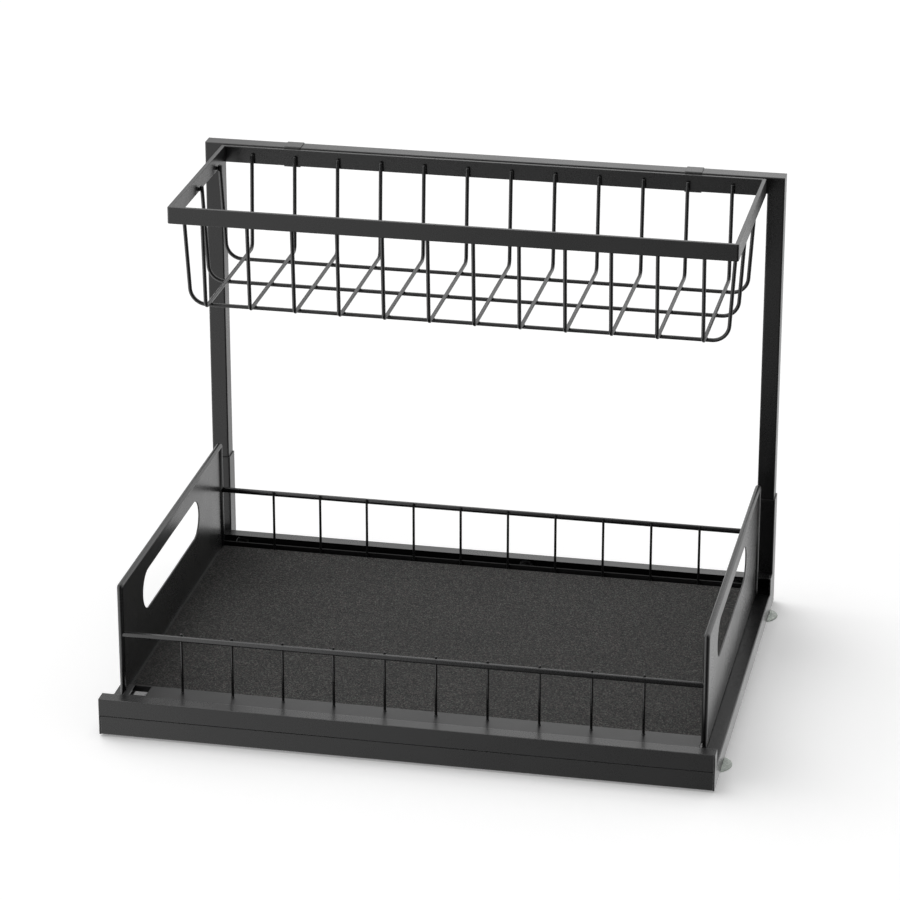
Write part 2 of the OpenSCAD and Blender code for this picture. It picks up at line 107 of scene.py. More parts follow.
def blend_colours(tree, share, a, b):
    """Colour a where share is 0 and colour b where it is 1."""
    mix = add(tree, "Mix", data_type="RGBA")
    tree.links.new(share, mix.inputs["Factor"])
    for key, value in ((6, a), (7, b)):
        if isinstance(value, bpy.types.NodeSocket):
            tree.links.new(value, mix.inputs[key])
        else:
            mix.inputs[key].default_value = (*value, 1)
    return mix.outputs[2]


# Finishes
# Colour of the coat, and the lighter colour of the painted highlight on its rounded edges
COAT_BLACK, COAT_EDGE_HIGHLIGHT = (0.005, 0.005, 0.0052), (0.014, 0.014, 0.0145)
# Colour of the painted shade on the inside of the rear channel
PAINTED_SHADE_BLACK = (0.0015, 0.0015, 0.0015)
SOFT_BLACK = (0.006, 0.006, 0.0062)
COAT_IOR = 1.5


def powder_coat(name, colour, highlight_colour, roughness, rounding, sheen, painted_shade_way=None):
    """Satin black powder coat: fine orange peel in the bump, faint clouds in colour and
    gloss, corners rounded over and a little lighter in colour there, a painted highlight, and
    a haze of that sheen at a flat angle. Faces turned towards the way given by its last
    argument, such as the inside of a channel, get painted shade: nearly black colour and hardly any
    gloss."""
    mat, tree, shader = start_material(name)
    place = object_place(tree)
    peel = noise(tree, place, 1500, 2.0)
    clouds = noise(tree, place, 22, 3.0)
    dark = tuple(0.8 * c for c in colour)
    coat = blend_colours(tree, clouds, dark, tuple(1.2 * c for c in colour))
    smooth = add(tree, "Bevel", {"Radius": rounding}, samples=6)
    flat = add(tree, "NewGeometry").outputs["Normal"]
    turn = add(tree, "VectorMath", {0: smooth.outputs["Normal"], 1: flat},
               operation="DOT_PRODUCT").outputs["Value"]
    # Painted highlight: the colour lightens where the rounded normal turns away from the flat one
    edge_highlight = spread(tree, turn, 0.998, 0.9)
    colour_out = blend_colours(tree, edge_highlight, coat, highlight_colour)
    # Painted shade: faces turned towards the given way, the channel's inside, get a nearly black
    # colour and little gloss
    if painted_shade_way:
        towards = add(tree, "VectorMath", {0: flat, 1: painted_shade_way}, operation="DOT_PRODUCT")
        inside = spread(tree, towards.outputs["Value"], 0.4, 0.8)
        colour_out = blend_colours(tree, inside, colour_out, PAINTED_SHADE_BLACK)
        tree.links.new(spread(tree, inside, 0, 1, 0.5, 0.03), shader.inputs["Specular IOR Level"])
    tree.links.new(colour_out, shader.inputs["Base Color"])
    gloss = add(tree, "Math", {0: spread(tree, peel, 0.3, 0.7, -0.03, 0.03),
                               1: spread(tree, clouds, 0.3, 0.7, roughness - 0.03, roughness + 0.03)},
                operation="ADD").outputs["Value"]
    tree.links.new(gloss, shader.inputs["Roughness"])
    bump = add(tree, "Bump", {"Strength": 0.1, "Distance": 0.00003, "Height": peel,
                              "Normal": smooth.outputs["Normal"]})
    tree.links.new(bump.outputs["Normal"], shader.inputs["Normal"])
    shader.inputs["IOR"].default_value = COAT_IOR
    shader.inputs["Sheen Weight"].default_value = sheen
    shader.inputs["Sheen Roughness"].default_value = 0.35
    return mat


def wire_coat(name, colour, roughness):
    """The same coat on wire, where it is thicker and smoother."""
    mat, tree, shader = start_material(name)
    place = object_place(tree)
    peel = noise(tree, place, 1800, 2.0)
    clouds = noise(tree, place, 60, 2.0)
    tree.links.new(blend_colours(tree, clouds, tuple(0.75 * c for c in colour),
                                 tuple(1.25 * c for c in colour)), shader.inputs["Base Color"])
    tree.links.new(spread(tree, peel, 0.3, 0.7, roughness - 0.04, roughness + 0.04),
                   shader.inputs["Roughness"])
    bump = add(tree, "Bump", {"Strength": 0.2, "Distance": 0.00003, "Height": peel})
    tree.links.new(bump.outputs["Normal"], shader.inputs["Normal"])
    shader.inputs["IOR"].default_value = COAT_IOR
    return mat


def mat_grain(name):
    """Matt dark mat: grains of about two thirds of a millimetre, some lighter with a faint
    red or green tint and some darker, over a fine noise, all of it also in the bump."""
    mat, tree, shader = start_material(name)
    place = object_place(tree)
    grains = add(tree, "TexVoronoi", {"Vector": place, "Scale": 1500.0, "Randomness": 1.0},
                 feature="F1")
    hue = add(tree, "SeparateColor", {"Color": grains.outputs["Color"]})
    tone = hue.outputs["Red"]
    fine = noise(tree, place, 2100, 2.0, 0.7)
    clouds = noise(tree, place, 35, 3.0)
    ground = blend_colours(tree, spread(tree, fine, 0.35, 0.65), (0.012, 0.012, 0.012),
                           (0.046, 0.045, 0.0445))
    tinted = blend_colours(tree, hue.outputs["Green"], (0.14, 0.11, 0.108), (0.108, 0.13, 0.115))
    light = blend_colours(tree, spread(tree, tone, 0.6, 1.0), ground, tinted)
    both = blend_colours(tree, spread(tree, tone, 0.35, 0.0), light, (0.008, 0.008, 0.008))
    shade = blend_colours(tree, spread(tree, clouds, 0.3, 0.7, 0.88, 1.0), (0, 0, 0), both)
    tree.links.new(shade, shader.inputs["Base Color"])
    height = add(tree, "Math", {0: fine, 1: tone}, operation="ADD").outputs["Value"]
    bump = add(tree, "Bump", {"Strength": 0.8, "Distance": 0.0003, "Height": height})
    tree.links.new(bump.outputs["Normal"], shader.inputs["Normal"])
    shader.inputs["Roughness"].default_value = 0.93
    shader.inputs["Specular IOR Level"].default_value = 0.25
    shader.inputs["Sheen Weight"].default_value = 0.06
    return mat


def clear_rubber(name):
    """Soft clear rubber with a greenish tint and small cloudy flecks."""
    mat, tree, shader = start_material(name)
    place = object_place(tree)
    flecks = noise(tree, place, 700, 3.0, 0.65)
    tree.links.new(blend_colours(tree, spread(tree, flecks, 0.4, 0.62), (0.4, 0.45, 0.41),
                                 (0.76, 0.8, 0.75)), shader.inputs["Base Color"])
    tree.links.new(spread(tree, flecks, 0.35, 0.65, 0.28, 0.5), shader.inputs["Roughness"])
    bump = add(tree, "Bump", {"Strength": 0.3, "Distance": 0.0002, "Height": flecks})
    tree.links.new(bump.outputs["Normal"], shader.inputs["Normal"])
    shader.inputs["Transmission Weight"].default_value = 0.55
    shader.inputs["IOR"].default_value = 1.45
    return mat


def zinc_plate(name):
    """Bright zinc plate: a pale bluish metal with fine turned scratches and clouds."""
    mat, tree, shader = start_material(name)
    place = object_place(tree)
    clouds = noise(tree, place, 240, 4.0, 0.6)
    tree.links.new(blend_colours(tree, clouds, (0.42, 0.43, 0.45), (0.68, 0.69, 0.7)),
                   shader.inputs["Base Color"])
    scratches = noise(tree, place, 2600, 2.0)
    tree.links.new(spread(tree, scratches, 0.3, 0.7, 0.22, 0.4), shader.inputs["Roughness"])
    bump = add(tree, "Bump", {"Strength": 0.2, "Distance": 0.00004, "Height": scratches})
    tree.links.new(bump.outputs["Normal"], shader.inputs["Normal"])
    shader.inputs["Metallic"].default_value = 1.0
    return mat


def runner_painted_shade_steel(name):
    """Steel of the runners, pins and stops, dull and nearly black, with faint rolling marks;
    its darkness is painted shade of the gap in which the runners sit."""
    mat, tree, shader = start_material(name)
    place = object_place(tree)
    marks = noise(tree, place, 180, 3.0, 0.6)
    tree.links.new(blend_colours(tree, marks, (0.003, 0.003, 0.003), (0.007, 0.007, 0.0072)),
                   shader.inputs["Base Color"])
    tree.links.new(spread(tree, marks, 0.3, 0.7, 0.5, 0.65), shader.inputs["Roughness"])
    shader.inputs["Specular IOR Level"].default_value = 0.15
    return mat


def nylon(name):
    """Black nylon with faint moulding clouds."""
    mat, tree, shader = start_material(name)
    place = object_place(tree)
    clouds = noise(tree, place, 320, 3.0)
    tree.links.new(blend_colours(tree, clouds, (0.016, 0.016, 0.017), (0.03, 0.03, 0.031)),
                   shader.inputs["Base Color"])
    tree.links.new(spread(tree, clouds, 0.3, 0.7, 0.35, 0.48), shader.inputs["Roughness"])
    bump = add(tree, "Bump", {"Strength": 0.15, "Distance": 0.00005,
                              "Height": noise(tree, place, 2200, 2.0)})
    tree.links.new(bump.outputs["Normal"], shader.inputs["Normal"])
    return mat


COAT = powder_coat("black_powder_coat", COAT_BLACK, COAT_EDGE_HIGHLIGHT, 0.29, 0.0007, 0.07)
TRAY_COAT = powder_coat("tray_powder_coat", SOFT_BLACK, COAT_EDGE_HIGHLIGHT, 0.42, 0.0005, 0.01)
# The rear channel's coat, with painted shade on its inside faces
CHANNEL_COAT = powder_coat("channel_coat_painted_shade", COAT_BLACK, COAT_EDGE_HIGHLIGHT, 0.29, 0.0005, 0.03,
                           painted_shade_way=(0, -1, 0))
WIRE = wire_coat("black_wire_coat", SOFT_BLACK, 0.28)
MAT = mat_grain("grainy_mat")
RUBBER = clear_rubber("clear_rubber")
ZINC = zinc_plate("zinc_plate")
NYLON = nylon("roller_nylon")
RUNNER_SHADE_STEEL = runner_painted_shade_steel("runner_painted_shade_steel")

FINISH_OF_SLOT = {"black_powder": COAT, "coated_wire": WIRE, "mat_fabric": MAT,
                  "cup_rubber": RUBBER, "zinc_steel": ZINC, "roller_nylon": NYLON}
# The runners, pins and stops get the dark dull steel, painted shade of the runners' gap
FINISH_OF_NODE = {"front_runner": RUNNER_SHADE_STEEL, "rear_runner": RUNNER_SHADE_STEEL, "roller_pins": RUNNER_SHADE_STEEL,
                  "travel_stops": RUNNER_SHADE_STEEL, "tray_pan": TRAY_COAT,
                  "rear_slide_channel": CHANNEL_COAT}


def finish_cad_nodes():
    """Gives every node of the frame its own finish, or else that of its slot in the record."""
    for part in frame["record"]["subparts"]:
        slots = nodes[part["node"]].material_slots
        for place in slots:
            place.material = FINISH_OF_NODE.get(part["node"], FINISH_OF_SLOT[part["material_slot"]])


# Surfaces
def grid_quads(n, m, wrap):
    """Quads over a grid of n rings by m points, closed round each ring, and with wrap also
    from the last ring to the first."""
    i, j = np.meshgrid(np.arange(n if wrap else n - 1), np.arange(m), indexing="ij")
    h, k = (i + 1) % n, (j + 1) % m
    return np.stack([i * m + j, i * m + k, h * m + k, h * m + j], -1).reshape(-1, 4)


def outward(points, quads, fans):
    """The skin with its faces outward: turned over where its enclosed volume, the sum of
    a . (b x c) / 6 over its triangles, comes out negative."""
    a, b, c = points[np.concatenate([quads[:, :3], quads[:, [0, 2, 3]], fans])].swapaxes(0, 1)
    if (a * np.cross(b, c)).sum() < 0:
        quads, fans = quads[:, ::-1], fans[:, ::-1]
    return points, quads, fans


def skin(rings, first_pole=None, last_pole=None):
    """Closed skin over rings, an array of N rings by M points: quads between neighbouring
    rings, and at each end a fan to a pole, by default the middle of the last ring."""
    n, m = rings.shape[:2]
    poles = np.stack([rings[0].mean(0) if first_pole is None else first_pole,
                      rings[-1].mean(0) if last_pole is None else last_pole])
    a = np.arange(m)
    b = (a + 1) % m
    first = np.stack([b, a, np.full(m, n * m)], -1)
    last = np.stack([(n - 1) * m + a, (n - 1) * m + b, np.full(m, n * m + 1)], -1)
    points = np.concatenate([rings.reshape(-1, 3), poles])
    return outward(points, grid_quads(n, m, False), np.concatenate([first, last]))


def hoop(rings):
    """Closed skin over rings whose last one joins the first, as on a bar bent to a loop."""
    n, m = rings.shape[:2]
    return outward(rings.reshape(-1, 3), grid_quads(n, m, True), np.zeros((0, 3), int))


def repeat(surface, shifts):
    """The same skin set down at each of the shifts."""
    points, quads, fans = surface
    count, size = len(shifts), len(points)
    step = (np.arange(count) * size)[:, None, None]
    return ((points[None] + np.asarray(shifts)[:, None]).reshape(-1, 3),
            (quads[None] + step).reshape(-1, 4), (fans[None] + step).reshape(-1, 3))


def join(*parts):
    """Several skins in one."""
    sizes = [0] + [len(p[0]) for p in parts]
    start = np.cumsum(sizes)[:-1]
    return (np.concatenate([p[0] for p in parts]),
            np.concatenate([p[1] + k for p, k in zip(parts, start)]),
            np.concatenate([p[2] + k for p, k in zip(parts, start)]))


def moved(surface, shift):
    """A skin moved by a shift."""
    return surface[0] + np.asarray(shift), surface[1], surface[2]


def piece(name, surface, finish, body, replaced=(), smooth=True, normals=None):
    """A mesh from points, quads and triangles that rides on a body. Its shading is smooth,
    flat, or follows the given normals, one for each point."""
    points, quads, fans = surface
    mesh = bpy.data.meshes.new(name)
    loops = np.concatenate([quads.ravel(), fans.ravel()]).astype(np.int32)
    sizes = np.concatenate([np.full(len(quads), 4), np.full(len(fans), 3)]).astype(np.int32)
    mesh.vertices.add(len(points))
    mesh.vertices.foreach_set("co", points.astype(np.float32).ravel())
    mesh.loops.add(len(loops))
    mesh.loops.foreach_set("vertex_index", loops)
    mesh.polygons.add(len(sizes))
    starts = np.concatenate([[0], np.cumsum(sizes)[:-1]]).astype(np.int32)
    mesh.polygons.foreach_set("loop_start", starts)
    mesh.update(calc_edges=True)
    mesh.validate()
    mesh.polygons.foreach_set("use_smooth", np.full(len(mesh.polygons), smooth))
    if normals is not None:
        mesh.normals_split_custom_set_from_vertices(normals.tolist())
    mesh.materials.append(finish)
    made = bpy.data.objects.new(name, mesh)
    bpy.context.scene.collection.objects.link(made)
    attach(made, body)
    if replaced:
        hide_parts(*replaced)


def rounded_outline(w, h, radius, steps):
    """Outline of a rectangle w by h round the origin with rounded corners, and its normals:
    four quarter circles of steps + 1 points, counterclockwise from the right side."""
    a = np.linspace(0, math.pi / 2, steps + 1)
    turn = np.concatenate([a + q * math.pi / 2 for q in range(4)])
    out = np.stack([np.cos(turn), np.sin(turn)], -1)
    side = np.array([(1, 1), (-1, 1), (-1, -1), (1, -1)], float).repeat(steps + 1, 0)
    return side * (w / 2 - radius, h / 2 - radius) + radius * out, out


WIRE_SIDES = 20
BEND_STEPS = 14
DOME_STEPS = 5


def wire(stations, radius, across, sides=WIRE_SIDES):
    """Round wire along stations in an upright plane: a circle of that radius carried along
    them, with a domed tip at either end. A station is the place along, the height and the
    heading. across is True for a plane along Y."""
    r = np.full(len(stations), radius)
    dome = np.linspace(0, math.pi / 2, DOME_STEPS + 1)[1:-1]
    tips, poles = [], []
    for end, way in ((stations[0], -1), (stations[-1], 1)):
        heading = np.array([math.cos(end[2]), math.sin(end[2])]) * way * 0.6 * radius
        tips.append(np.concatenate([end[:2] + np.sin(dome)[:, None] * heading,
                                    np.full((len(dome), 1), end[2])], -1))
        poles.append(end[:2] + heading)
    line = np.concatenate([tips[0][::-1], stations, tips[1]])
    small = radius * np.cos(dome)
    r = np.concatenate([small[::-1], r, small])[:, None]
    around = np.linspace(0, 2 * math.pi, sides, endpoint=False)[None]
    u, v = r * np.cos(around), r * np.sin(around)
    s, z, heading = (line[:, i, None] for i in range(3))
    along, up = s - u * np.sin(heading), z + u * np.cos(heading)
    if across:
        return skin(np.stack([-v, along, up], -1), (0, *poles[0]), (0, *poles[1]))
    return skin(np.stack([along, v, up], -1), (poles[0][0], 0, poles[0][1]),
                (poles[1][0], 0, poles[1][1]))


def lumps(places, sizes, sides=12, bands=7):
    """Weld lumps: an ellipsoid of the given half sizes at each place, from its two angles."""
    lat = np.linspace(-math.pi / 2, math.pi / 2, bands + 2)[1:-1, None]
    lon = np.linspace(0, 2 * math.pi, sides, endpoint=False)[None]
    rings = np.stack([sizes[0] * np.cos(lat) * np.cos(lon), sizes[1] * np.cos(lat) * np.sin(lon),
                      sizes[2] * np.sin(lat) + 0 * lon], -1)
    return repeat(skin(rings, (0, 0, -sizes[2]), (0, 0, sizes[2])), places)


# Uprights
# The tube's top, width and middle line, the posts' low end in the sleeves, corner radii
TOP_Z = 336.2 * MM
POST = 12.6 * MM
POST_X = 207.8 * MM
POST_Y = 152.5 * MM
POST_LOW = 47.5 * MM
TUBE_ROUND = 0.9 * MM
CORNER_SOFT = 0.35 * MM


def make_uprights():
    """Posts and top rail as one welded tube with mitred corners, ground smooth: a rounded
    square carried up the left post, along the rail and down the right post. At a corner the
    square stretches by the root of two in the mitre's plane."""
    square, out = rounded_outline(POST, POST, TUBE_ROUND, 6)
    axis_z = TOP_Z - POST / 2
    near = axis_z - CORNER_SOFT
    half = math.sqrt(0.5)
    # place x, place z, section axis x and z, true outward direction x and z
    left = np.array([
        (-POST_X, POST_LOW, -1, 0, -1, 0),
        (-POST_X, near, -1, 1, -1, 0),
        (-POST_X, axis_z, -1, 1, -half, half),
        (-POST_X + CORNER_SOFT, axis_z, -1, 1, 0, 1),
    ])
    stations = np.concatenate([left, left[::-1] * (-1, 1, -1, 1, -1, 1)])[:, None]
    u, v = square[None, :, 0], square[None, :, 1]
    rings = np.stack([stations[..., 0] + u * stations[..., 2], POST_Y - v + 0 * stations[..., 0],
                      stations[..., 1] + u * stations[..., 3]], -1)
    n, m = out[None, :, 0], out[None, :, 1]
    normals = np.stack([n * stations[..., 4], -m + 0 * stations[..., 0], n * stations[..., 5]], -1)
    normals = np.concatenate([normals.reshape(-1, 3), [[0, 0, -1], [0, 0, -1]]])
    piece("upright_frame", skin(rings), COAT, "base",
          ["left_post", "right_post", "top_rail"], normals=normals)


# Basket
# The long wires stand a little to the right of the middle and end short of the bars
WIRE_R = 1.4 * MM
RIM_TOP = 335.5 * MM
RIM_HIGH = 12.2 * MM
RIM_HALF = 201.1 * MM
RIM_FRONT, RIM_BACK = -3.7 * MM, 145.3 * MM
RIM_SHEET = 3.0 * MM
RIM_ROUND = 1.3 * MM
RIM_EDGE = 0.5 * MM
WIRE_SEAT = RIM_SHEET + 0.03 * MM + WIRE_R
WIRE_TOP = RIM_TOP - 5.4 * MM
LONG_TOP = RIM_TOP - RIM_HIGH + 4.5 * MM
LONG_SHIFT, LONG_SHORT = 0.6 * MM, 0.5 * MM
CROSS_Z = RIM_TOP - 75.5 * MM
LONG_Z = CROSS_Z - 2 * WIRE_R - 0.03 * MM
CROSS_COUNT = 12
CROSS_PITCH = 32.2 * MM
CROSS_BEND, CROSS_LEAN = 5 * MM, 3.5
LONG_BEND, LONG_LEAN = 12 * MM, 3.3
LONG_Y = (18.4 * MM, 68.65 * MM, 118.9 * MM)
# Half sizes of the weld lumps
FLOOR_WELD = (1.45 * MM, 1.45 * MM, 1.1 * MM)
CROSS_WELD = (1.3 * MM, 0.6 * MM, 1.8 * MM)
LONG_WELD = (1.2 * MM, 1.1 * MM, 1.6 * MM)
HOOK_X = 148 * MM
HOOK_WIDE, HOOK_SHEET, HOOK_PLAY = 12.4 * MM, 0.6 * MM, 0.05 * MM
HOOK_LOW = RIM_TOP - RIM_HIGH - 1.6 * MM
HOOK_TAIL = TOP_Z - 13 * MM


def u_stations(half, height, bend, lean):
    """Stations of a U from its left tip to its right one: place along, height and heading.
    A straight floor, then a quarter bend less the lean, then a straight leg that leans out."""
    turn = math.radians(90 - lean)
    rise = bend - bend * math.cos(turn)
    flat = half - bend * math.sin(turn) - (height - rise) * math.tan(math.radians(lean))
    a = np.linspace(0, turn, BEND_STEPS + 1)
    right = np.stack([flat + bend * np.sin(a), bend - bend * np.cos(a), a], -1)
    right = np.concatenate([right, [[half, height, turn]]])
    return np.concatenate([right[::-1] * (-1, 1, -1), right])


def make_rim():
    """Flat bar bent to a rectangle: its section, a rectangle with softened edges, carried
    round the corners between an outer and an inner rounded outline."""
    w, d = 2 * RIM_HALF, RIM_BACK - RIM_FRONT
    outer, out = rounded_outline(w, d, RIM_ROUND, 8)
    inner, _ = rounded_outline(w - 2 * RIM_SHEET, d - 2 * RIM_SHEET, 0.4 * MM, 8)
    section, edge = rounded_outline(RIM_SHEET, RIM_HIGH, RIM_EDGE, 3)
    share = section[None, :, 0, None] / RIM_SHEET + 0.5
    flat = inner[:, None] + (outer - inner)[:, None] * share
    z = np.broadcast_to(section[None, :, 1, None] + RIM_TOP - RIM_HIGH / 2, flat[..., :1].shape)
    rings = np.concatenate([flat + (0, (RIM_FRONT + RIM_BACK) / 2), z], -1)
    normals = np.concatenate([out[:, None] * edge[None, :, :1],
                              np.broadcast_to(edge[None, :, 1:], z.shape)], -1)
    piece("basket_rim_bar", hoop(rings), COAT, "basket", ["basket_rim"],
          normals=normals.reshape(-1, 3))


def make_hooks():
    """Strap hooks: a thin rectangle with softened edges carried up behind the rim, round two
    bends over the rail and down its back."""
    section, _ = rounded_outline(HOOK_WIDE, HOOK_SHEET, 0.3 * MM, 3)
    gap = HOOK_PLAY + HOOK_SHEET / 2
    radius = TUBE_ROUND + gap
    y_front, y_back = POST_Y - POST / 2 - gap, POST_Y + POST / 2 + gap
    z_bend = TOP_Z + gap - radius
    a = np.linspace(0, math.pi / 2, 8)
    front = np.stack([y_front + radius - radius * np.cos(a), z_bend + radius * np.sin(a),
                      math.pi / 2 - a], -1)
    back = np.stack([y_back - radius + radius * np.sin(a), z_bend + radius * np.cos(a), -a], -1)
    line = np.concatenate([[[y_front, HOOK_LOW, math.pi / 2]], front, back,
                           [[y_back, HOOK_TAIL, -math.pi / 2]]])
    y, z, heading = (line[:, i, None] for i in range(3))
    x, t = section[None, :, 0], section[None, :, 1]
    rings = np.stack([x + 0 * y, y - t * np.sin(heading), z + t * np.cos(heading)], -1)
    for name, side in (("left_hook", -1), ("right_hook", 1)):
        piece(name + "_strap", moved(skin(rings), (side * HOOK_X, 0, 0)), COAT, "basket",
              [name], smooth=False)


def make_basket():
    """Twelve U wires across the basket, three along it under them, and the weld lumps where
    they cross and where their tips meet the rim."""
    depth_half = (RIM_BACK - RIM_FRONT) / 2
    cross = u_stations(depth_half - WIRE_SEAT, WIRE_TOP - CROSS_Z, CROSS_BEND, CROSS_LEAN)
    cross_x = (np.arange(CROSS_COUNT) - (CROSS_COUNT - 1) / 2) * CROSS_PITCH
    middle_y = (RIM_FRONT + RIM_BACK) / 2
    for i, x in enumerate(cross_x):
        name = f"cross_wire_{i + 1:02d}"
        piece(name + "_coated", moved(wire(cross, WIRE_R, True), (x, middle_y, CROSS_Z)), WIRE,
              "basket", [name])
    long = u_stations(RIM_HALF - WIRE_SEAT - LONG_SHORT, LONG_TOP - LONG_Z, LONG_BEND, LONG_LEAN)
    for y, name in zip(LONG_Y, ("front_long_wire", "middle_long_wire", "rear_long_wire")):
        piece(name + "_coated", moved(wire(long, WIRE_R, False), (LONG_SHIFT, y, LONG_Z)), WIRE,
              "basket", [name])
    crossings = np.array([(x, y, (CROSS_Z + LONG_Z) / 2) for x in cross_x for y in LONG_Y])
    piece("basket_floor_welds", lumps(crossings, FLOOR_WELD), WIRE, "basket")
    seat = depth_half - RIM_SHEET
    tips = [(x, middle_y + side * seat, WIRE_TOP - 1.5 * MM) for x in cross_x for side in (-1, 1)]
    ends = [(side * (RIM_HALF - RIM_SHEET - 0.5 * MM), y, LONG_TOP - 2 * MM)
            for y in LONG_Y for side in (-1, 1)]
    piece("basket_rim_welds", join(lumps(np.array(tips), CROSS_WELD),
                                   lumps(np.array(ends), LONG_WELD)),
          WIRE, "basket")


# End panels and fences
PANEL_X = 204 * MM
PANEL_LOW, PANEL_TOP = 16.5 * MM, 105.5 * MM
PANEL_SHEET = 1.0 * MM
BEAD_R = 2.2 * MM
BEAD_BEND = 1.0 * MM
FRONT_FENCE_Y, REAR_FENCE_Y = -136.7 * MM, 129.35 * MM
HANDLE_Y, HANDLE_Z = -8.2 * MM, 73.4 * MM
HANDLE_LONG, HANDLE_HIGH = 150 * MM, 29.2 * MM
HANDLE_STEPS = 220
ROD_R, ROD_Z = 2 * MM, 67.5 * MM
PICKET_R = 0.95 * MM
PICKET_COUNT = 10
PICKET_PITCH = 36 * MM
PICKET_TOP = ROD_Z + ROD_R + 0.4 * MM
PICKET_BESIDE = 2.4 * MM
PICKET_WELD = (1.3 * MM, 1.3 * MM, 1.0 * MM)
# Tops of the tray's front margin and of its floor
MARGIN_TOP, FLOOR_TOP = 25.5 * MM, 22 * MM


def panel_rays():
    """Directions from the handle hole's middle: through points spread evenly along its edge,
    and through the panel's four corners."""
    reach, r = (HANDLE_LONG - HANDLE_HIGH) / 2, HANDLE_HIGH / 2
    straight, cap = 2 * reach, math.pi * r
    s = np.linspace(0, 2 * (straight + cap), HANDLE_STEPS, endpoint=False)
    half, over = np.divmod(s, straight + cap)
    a = np.maximum(over - straight, 0) / r - math.pi / 2
    y = np.where(over < straight, over - reach, reach + r * np.cos(a))
    z = np.where(over < straight, -r, r * np.sin(a))
    sign = 1 - 2 * half
    angles = np.arctan2(sign * z, sign * y)
    sides = np.array([FRONT_FENCE_Y, REAR_FENCE_Y]) - HANDLE_Y
    ends = np.array([PANEL_LOW, PANEL_TOP - BEAD_R]) - HANDLE_Z
    corners = np.arctan2(ends.repeat(2), np.tile(sides, 2))
    angles = np.unique(np.round(np.concatenate([angles, corners]), 6))
    return np.stack([np.cos(angles), np.sin(angles)], -1)


def panel_sheet():
    """Sheet with the handle hole, in Y and Z: each ray from the hole's middle leaves the
    hole, a stadium, at one distance and the panel, a rectangle, at another; the skin goes
    round through both distances on both faces, and the hole's edge is rounded."""
    c, s = panel_rays().T
    reach, r = (HANDLE_LONG - HANDLE_HIGH) / 2, HANDLE_HIGH / 2
    level = r / np.maximum(np.abs(s), 1e-9)
    cap = reach * np.abs(c) + np.sqrt(np.maximum(r ** 2 - (reach * s) ** 2, 0))
    hole = np.where(level * np.abs(c) <= reach, level, cap)
    wide = np.where(c > 0, REAR_FENCE_Y - HANDLE_Y, HANDLE_Y - FRONT_FENCE_Y)
    high = np.where(s > 0, PANEL_TOP - BEAD_R - HANDLE_Z, HANDLE_Z - PANEL_LOW)
    edge = np.minimum(wide / np.maximum(np.abs(c), 1e-9), high / np.maximum(np.abs(s), 1e-9))
    t = PANEL_SHEET / 2
    a = np.linspace(0, math.pi, 7)
    x = np.concatenate([[t, t], t * np.cos(a), [-t, -t]])
    share = np.concatenate([[1, 0.03], 0 * a, [0.03, 1]])
    back = np.concatenate([[0, 2 * t], t - t * np.sin(a), [2 * t, 0]])
    far = hole + (edge - hole) * share[:, None] + back[:, None]
    surface = hoop(np.stack([x[:, None] + 0 * far, HANDLE_Y + far * c, HANDLE_Z + far * s], -1))
    in_cap = level * np.abs(c) > reach
    to_y = np.where(in_cap, (hole * c - np.sign(c) * reach) / r, 0)
    to_z = np.where(in_cap, hole * s / r, np.sign(s))
    over = np.concatenate([[1, 1], np.cos(a), [-1, -1]])[:, None]
    inward = np.concatenate([[0, 0], np.sin(a), [0, 0]])[:, None]
    normals = np.stack([over + 0 * far, -inward * to_y, -inward * to_z], -1)
    return surface, normals.reshape(-1, 3)


def panel_bead():
    """Rolled edge in Y and Z: up the front, round a tight bend, over the top and down."""
    a = np.linspace(0, math.pi / 2, 9)
    line_z = PANEL_TOP - BEAD_R
    front = np.stack([FRONT_FENCE_Y + BEAD_BEND * (1 - np.cos(a)),
                      line_z - BEAD_BEND * (1 - np.sin(a)), math.pi / 2 - a], -1)
    back = np.stack([REAR_FENCE_Y - BEAD_BEND * (1 - np.sin(a)),
                     line_z - BEAD_BEND * (1 - np.cos(a)), -a], -1)
    line = np.concatenate([[[FRONT_FENCE_Y, PANEL_LOW + BEAD_R, math.pi / 2]], front, back,
                           [[REAR_FENCE_Y, PANEL_LOW + BEAD_R, -math.pi / 2]]])
    return wire(line, BEAD_R, True, 28)


def make_panels():
    """Both end panels, each a sheet with its handle hole and its rolled edge."""
    sheet, normals = panel_sheet()
    for name, side in (("left_end_panel", -1), ("right_end_panel", 1)):
        at = (side * PANEL_X, 0, 0)
        piece(name + "_sheet", moved(sheet, at), COAT, "drawer", [name],
              normals=normals)
        piece(name + "_bead", moved(panel_bead(), at), COAT, "drawer")


def make_fences():
    """Fence rods between the panels, and the upright wires welded to their inner sides, which
    stand on the front margin and on the tray's floor."""
    rod = np.array([(-PANEL_X + BEAD_R / 2, ROD_Z, 0), (PANEL_X - BEAD_R / 2, ROD_Z, 0)])
    x = (np.arange(PICKET_COUNT) - (PICKET_COUNT - 1) / 2) * PICKET_PITCH
    none = 0 * x
    for name, y, inward, foot in (("front", FRONT_FENCE_Y, 1, MARGIN_TOP),
                                  ("rear", REAR_FENCE_Y, -1, FLOOR_TOP)):
        piece(name + "_rod_coated", moved(wire(rod, ROD_R, False, 28), (0, y, 0)), WIRE, "drawer",
              [name + "_fence_rod"])
        line = none + y + inward * PICKET_BESIDE
        picket = np.array([(0, foot, math.pi / 2), (0, PICKET_TOP, math.pi / 2)])
        pickets = repeat(wire(picket, PICKET_R, True), np.stack([x, line, none], -1))
        feet = lumps(np.stack([x, line, none + foot], -1), PICKET_WELD)
        piece(name + "_pickets_coated", join(pickets, feet), WIRE, "drawer",
              [name + "_fence_wires"])


# Mat
MAT_HALF = 201.7 * MM
MAT_FRONT, MAT_BACK = -128.5 * MM, 125.8 * MM


